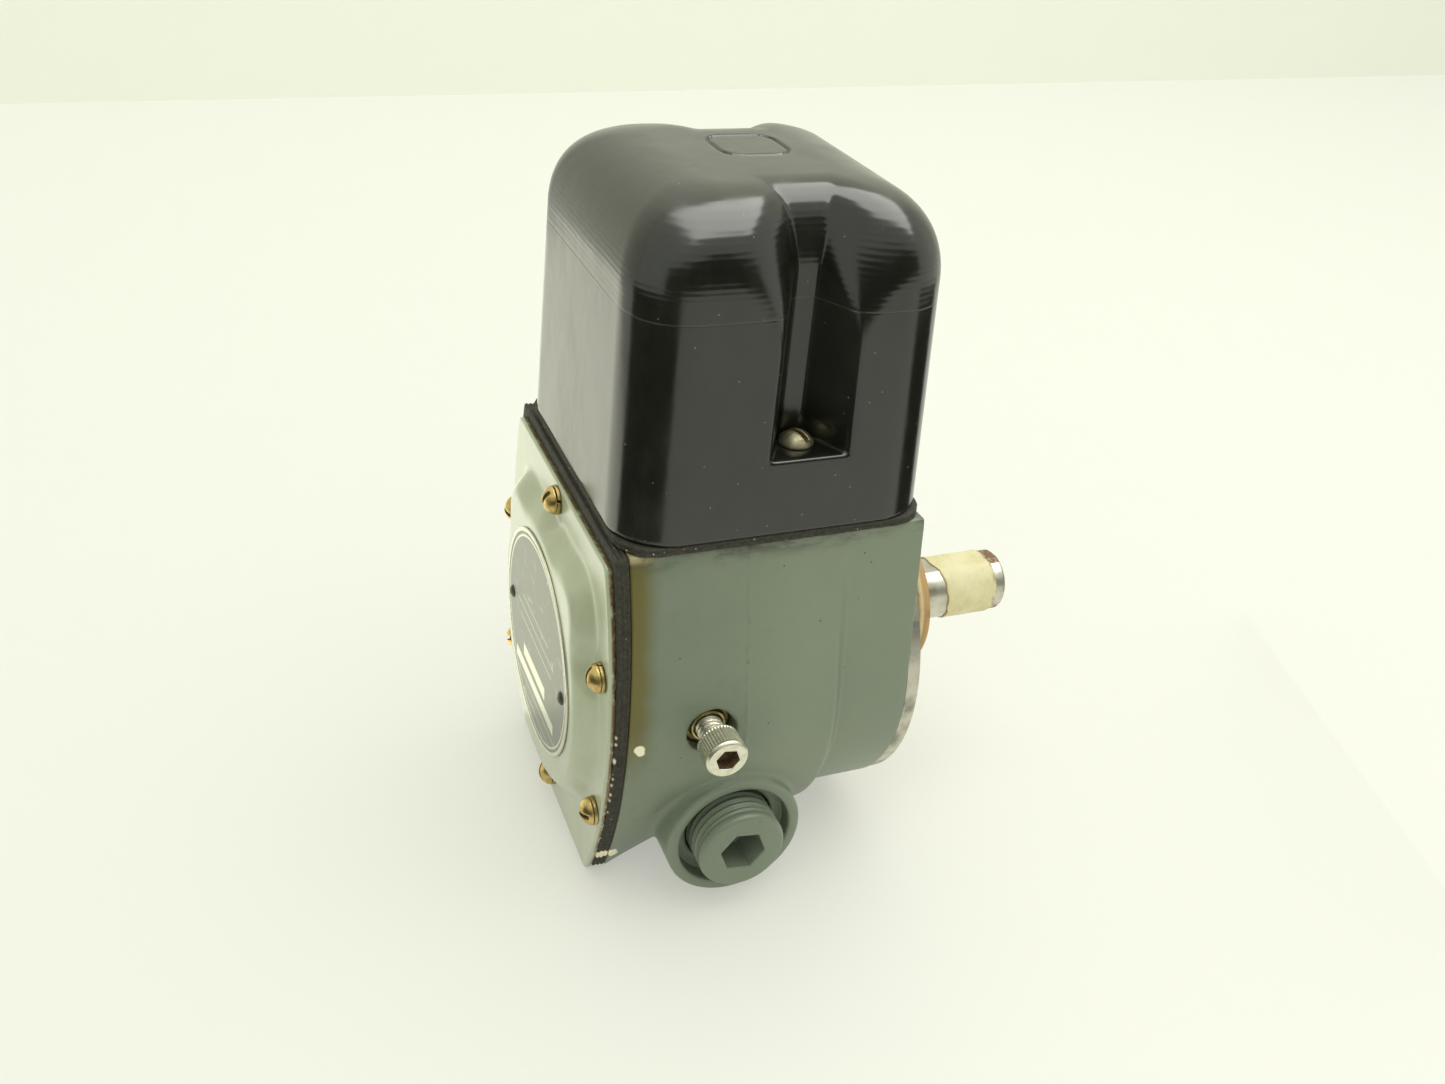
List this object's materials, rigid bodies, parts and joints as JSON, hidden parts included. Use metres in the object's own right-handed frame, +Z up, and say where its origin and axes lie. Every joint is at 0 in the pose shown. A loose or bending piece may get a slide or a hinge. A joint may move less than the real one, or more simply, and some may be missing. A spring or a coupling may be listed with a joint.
{
  "type": "limit switch",
  "caption": "Rotary-shaft limit switch: cast drum case, moulded contact cover, side conduit entry and adjuster, inner cam, lift rod and contact block.",
  "frame": {"origin": "on the shaft axis, at the mounting face of the bearing flange", "axes": "+X out along the operating shaft, +Z up towards the contact cover; the conduit entry and the adjuster face -Y"},
  "size_m": [0.1262, 0.1, 0.1621],
  "materials": {
    "case_paint": "semi-gloss grey-green enamel over a casting",
    "plate_paint": "light green-grey enamel on pressed sheet steel",
    "cover_plastic": "glossy black moulded thermoset",
    "gasket_rubber": "dull black, weathered edge",
    "tag_metal": "grey-printed metal with a bare bright rim",
    "dark_pin": "blackened drive pins",
    "yellow_zinc": "yellow passivated zinc plate, dulled",
    "nickel": "worn bright nickel plate",
    "machined_steel": "bare turned metal",
    "shaft_steel": "ground steel with rust at the end",
    "tape_paper": "crepe paper masking tape",
    "fibre": "tan vulcanised fibre",
    "brass": "turned brass",
    "bronze": "oiled sintered bronze",
    "black_oxide": "black oxide",
    "spring_steel": "music wire",
    "phenolic": "brown moulded phenolic",
    "copper": "rolled copper alloy",
    "silver": "silver contact tips"
  },
  "bodies": {
    "case": {"housing": "case_paint", "bearing_flange": "machined_steel", "flange_screws": "machined_steel", "end_plate": "plate_paint", "plate_gasket": "gasket_rubber", "plate_screws": "yellow_zinc", "plate_lock_washers": "yellow_zinc", "nameplate": "tag_metal", "nameplate_pins": "dark_pin", "contact_cover": "cover_plastic", "cover_gasket": "gasket_rubber", "cover_screws": "nickel", "conduit_plug": "case_paint", "adjuster_bushing": "brass", "adjuster_spring": "spring_steel", "wear_washer": "fibre", "oil_seal": "gasket_rubber", "front_bushing": "bronze", "rear_bushing": "bronze", "rod_guide": "brass", "lift_spring": "spring_steel", "contact_base": "phenolic", "base_screws": "yellow_zinc", "lower_contacts": "brass", "upper_contacts": "brass", "contact_tips": "silver", "wire_clamps": "yellow_zinc", "terminal_screws": "yellow_zinc"},
    "shaft": {"shaft": "shaft_steel", "shaft_tape": "tape_paper", "retaining_ring": "spring_steel", "trip_cam": "machined_steel", "return_cam": "machined_steel", "cam_set_screws": "black_oxide"},
    "lift_rod": {"lift_rod": "machined_steel", "roller_pin": "machined_steel", "contact_carrier": "phenolic", "carrier_nut": "machined_steel", "bridge_contact": "copper", "contact_spring": "spring_steel"},
    "roller": {"cam_roller": "machined_steel"},
    "return_shoe": {"return_shoe": "machined_steel"},
    "spring_seat": {"spring_button": "machined_steel"},
    "adjuster": {"adjuster_screw": "nickel"}
  },
  "joints": [
    {"name": "shaft_turn", "type": "hinge", "parent": "case", "child": "shaft", "pos_m": [0, 0, 0], "axis": [1, 0, 0], "range_deg": [0, 60], "stiffness_Nm_per_rad": 0.4, "springref_deg": -20.05},
    {"name": "rod_lift", "type": "slide", "parent": "case", "child": "lift_rod", "axis": [0, 0, 1], "range_m": [0, 0.00398], "deforming": ["lift_spring"]},
    {"name": "roller_spin", "type": "hinge", "parent": "lift_rod", "child": "roller", "pos_m": [-0.0335, 0.0038, 0.02015], "axis": [1, 0, 0], "continuous": true},
    {"name": "shoe_slide", "type": "slide", "parent": "case", "child": "return_shoe", "axis": [0, -1, 0], "range_m": [0, 0.00398], "deforming": ["adjuster_spring"]},
    {"name": "seat_slide", "type": "slide", "parent": "case", "child": "spring_seat", "axis": [0, 1, 0], "range_m": [-0.00127, 0.00381]},
    {"name": "adjuster_turn", "type": "hinge", "parent": "spring_seat", "child": "adjuster", "pos_m": [-0.0522, 0, 0.0038], "axis": [0, 1, 0], "range_deg": [-360.5, 1080.5]}
  ],
  "couplings": [
    {"joint": "rod_lift", "follows": "shaft_turn", "m_per_rad": 0.0038},
    {"joint": "shoe_slide", "follows": "shaft_turn", "m_per_rad": 0.0038},
    {"joint": "adjuster_turn", "follows": "seat_slide", "rad_per_m": 4947.4}
  ]
}
